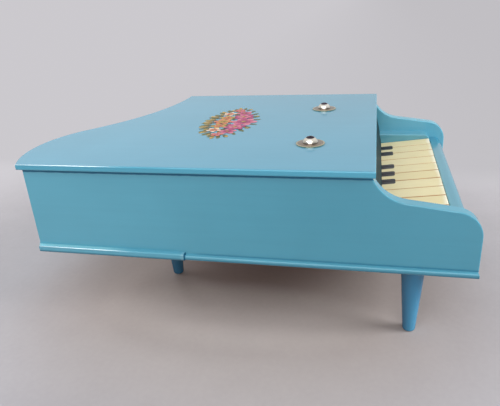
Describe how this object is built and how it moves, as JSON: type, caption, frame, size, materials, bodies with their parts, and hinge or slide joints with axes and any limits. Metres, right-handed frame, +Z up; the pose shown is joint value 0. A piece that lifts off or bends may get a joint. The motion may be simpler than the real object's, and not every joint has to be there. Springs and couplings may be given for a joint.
{
  "type": "toy piano",
  "caption": "Toy grand piano: painted wooden case with S-shaped cheeks and a bent tail on peg legs; pivoting keys lift hammers that strike tuned steel chime rods.",
  "frame": {"origin": "on the floor the feet stand on, below the middle of the bounding box", "axes": "+X from bass to treble along the keyboard, +Y from the keyboard to the tail, +Z up"},
  "size_m": [0.2324, 0.332, 0.1337],
  "materials": {
    "paint": "turquoise gloss paint on wood",
    "leg_paint": "turquoise gloss paint on turned wood",
    "key_wood": "cream paint, painted black sharps",
    "hammer_wood": "bare hardwood",
    "bare_wood": "bare softwood",
    "felt": "wool felt",
    "steel": "drawn steel wire",
    "iron": "raw casting",
    "nickel": "bright nickel plate",
    "dark_steel": "blued steel"
  },
  "bodies": {
    "case": {"base_front_board": "paint", "base_tail_board": "paint", "base_batten": "bare_wood", "bass_side": "paint", "treble_side": "paint", "bentside": "paint", "lid": "paint", "key_slip": "paint", "bass_key_block": "paint", "treble_key_block": "paint", "nameboard": "paint", "balance_rail": "bare_wood", "front_rail": "bare_wood", "front_rail_felt": "felt", "back_rail": "bare_wood", "back_rail_felt": "felt", "key_pivot_rod": "steel", "hammer_rail": "bare_wood", "hammer_pivot_wire": "steel", "chime_bar": "iron", "chime_rods": "steel", "cup_washers": "nickel", "chime_screws": "dark_steel", "front_bass_leg": "leg_paint", "front_treble_leg": "leg_paint", "tail_leg": "leg_paint", "tail_leg_block": "bare_wood"},
    "key_1_c": {"key_1_c": "key_wood"},
    "key_2_d": {"key_2_d": "key_wood"},
    "key_3_e": {"key_3_e": "key_wood"},
    "key_4_f": {"key_4_f": "key_wood"},
    "key_5_g": {"key_5_g": "key_wood"},
    "key_6_a": {"key_6_a": "key_wood"},
    "key_7_b": {"key_7_b": "key_wood"},
    "key_8_c": {"key_8_c": "key_wood"},
    "key_9_d": {"key_9_d": "key_wood"},
    "key_10_e": {"key_10_e": "key_wood"},
    "hammer_1_c": {"hammer_1_c": "hammer_wood"},
    "hammer_2_d": {"hammer_2_d": "hammer_wood"},
    "hammer_3_e": {"hammer_3_e": "hammer_wood"},
    "hammer_4_f": {"hammer_4_f": "hammer_wood"},
    "hammer_5_g": {"hammer_5_g": "hammer_wood"},
    "hammer_6_a": {"hammer_6_a": "hammer_wood"},
    "hammer_7_b": {"hammer_7_b": "hammer_wood"},
    "hammer_8_c": {"hammer_8_c": "hammer_wood"},
    "hammer_9_d": {"hammer_9_d": "hammer_wood"},
    "hammer_10_e": {"hammer_10_e": "hammer_wood"}
  },
  "joints": [
    {"name": "key_1_c_press", "type": "hinge", "parent": "case", "child": "key_1_c", "pos_m": [-0.0801, -0.10302, 0.07941], "axis": [1, 0, 0], "range_deg": [0, 5]},
    {"name": "hammer_1_c_swing", "type": "hinge", "parent": "case", "child": "hammer_1_c", "pos_m": [-0.0801, -0.06894, 0.08881], "axis": [1, 0, 0], "range_deg": [0, 14]},
    {"name": "key_2_d_press", "type": "hinge", "parent": "case", "child": "key_2_d", "pos_m": [-0.0623, -0.10302, 0.07941], "axis": [1, 0, 0], "range_deg": [0, 5]},
    {"name": "hammer_2_d_swing", "type": "hinge", "parent": "case", "child": "hammer_2_d", "pos_m": [-0.0623, -0.06894, 0.08881], "axis": [1, 0, 0], "range_deg": [0, 14]},
    {"name": "key_3_e_press", "type": "hinge", "parent": "case", "child": "key_3_e", "pos_m": [-0.0445, -0.10302, 0.07941], "axis": [1, 0, 0], "range_deg": [0, 5]},
    {"name": "hammer_3_e_swing", "type": "hinge", "parent": "case", "child": "hammer_3_e", "pos_m": [-0.0445, -0.06894, 0.08881], "axis": [1, 0, 0], "range_deg": [0, 14]},
    {"name": "key_4_f_press", "type": "hinge", "parent": "case", "child": "key_4_f", "pos_m": [-0.0267, -0.10302, 0.07941], "axis": [1, 0, 0], "range_deg": [0, 5]},
    {"name": "hammer_4_f_swing", "type": "hinge", "parent": "case", "child": "hammer_4_f", "pos_m": [-0.0267, -0.06894, 0.08881], "axis": [1, 0, 0], "range_deg": [0, 14]},
    {"name": "key_5_g_press", "type": "hinge", "parent": "case", "child": "key_5_g", "pos_m": [-0.0089, -0.10302, 0.07941], "axis": [1, 0, 0], "range_deg": [0, 5]},
    {"name": "hammer_5_g_swing", "type": "hinge", "parent": "case", "child": "hammer_5_g", "pos_m": [-0.0089, -0.06894, 0.08881], "axis": [1, 0, 0], "range_deg": [0, 14]},
    {"name": "key_6_a_press", "type": "hinge", "parent": "case", "child": "key_6_a", "pos_m": [0.0089, -0.10302, 0.07941], "axis": [1, 0, 0], "range_deg": [0, 5]},
    {"name": "hammer_6_a_swing", "type": "hinge", "parent": "case", "child": "hammer_6_a", "pos_m": [0.0089, -0.06894, 0.08881], "axis": [1, 0, 0], "range_deg": [0, 14]},
    {"name": "key_7_b_press", "type": "hinge", "parent": "case", "child": "key_7_b", "pos_m": [0.0267, -0.10302, 0.07941], "axis": [1, 0, 0], "range_deg": [0, 5]},
    {"name": "hammer_7_b_swing", "type": "hinge", "parent": "case", "child": "hammer_7_b", "pos_m": [0.0267, -0.06894, 0.08881], "axis": [1, 0, 0], "range_deg": [0, 14]},
    {"name": "key_8_c_press", "type": "hinge", "parent": "case", "child": "key_8_c", "pos_m": [0.0445, -0.10302, 0.07941], "axis": [1, 0, 0], "range_deg": [0, 5]},
    {"name": "hammer_8_c_swing", "type": "hinge", "parent": "case", "child": "hammer_8_c", "pos_m": [0.0445, -0.06894, 0.08881], "axis": [1, 0, 0], "range_deg": [0, 14]},
    {"name": "key_9_d_press", "type": "hinge", "parent": "case", "child": "key_9_d", "pos_m": [0.0623, -0.10302, 0.07941], "axis": [1, 0, 0], "range_deg": [0, 5]},
    {"name": "hammer_9_d_swing", "type": "hinge", "parent": "case", "child": "hammer_9_d", "pos_m": [0.0623, -0.06894, 0.08881], "axis": [1, 0, 0], "range_deg": [0, 14]},
    {"name": "key_10_e_press", "type": "hinge", "parent": "case", "child": "key_10_e", "pos_m": [0.0801, -0.10302, 0.07941], "axis": [1, 0, 0], "range_deg": [0, 5]},
    {"name": "hammer_10_e_swing", "type": "hinge", "parent": "case", "child": "hammer_10_e", "pos_m": [0.0801, -0.06894, 0.08881], "axis": [1, 0, 0], "range_deg": [0, 14]}
  ],
  "couplings": [
    {"joint": "hammer_1_c_swing", "follows": "key_1_c_press", "ratio": 2.8},
    {"joint": "hammer_2_d_swing", "follows": "key_2_d_press", "ratio": 2.8},
    {"joint": "hammer_3_e_swing", "follows": "key_3_e_press", "ratio": 2.8},
    {"joint": "hammer_4_f_swing", "follows": "key_4_f_press", "ratio": 2.8},
    {"joint": "hammer_5_g_swing", "follows": "key_5_g_press", "ratio": 2.8},
    {"joint": "hammer_6_a_swing", "follows": "key_6_a_press", "ratio": 2.8},
    {"joint": "hammer_7_b_swing", "follows": "key_7_b_press", "ratio": 2.8},
    {"joint": "hammer_8_c_swing", "follows": "key_8_c_press", "ratio": 2.8},
    {"joint": "hammer_9_d_swing", "follows": "key_9_d_press", "ratio": 2.8},
    {"joint": "hammer_10_e_swing", "follows": "key_10_e_press", "ratio": 2.8}
  ]
}
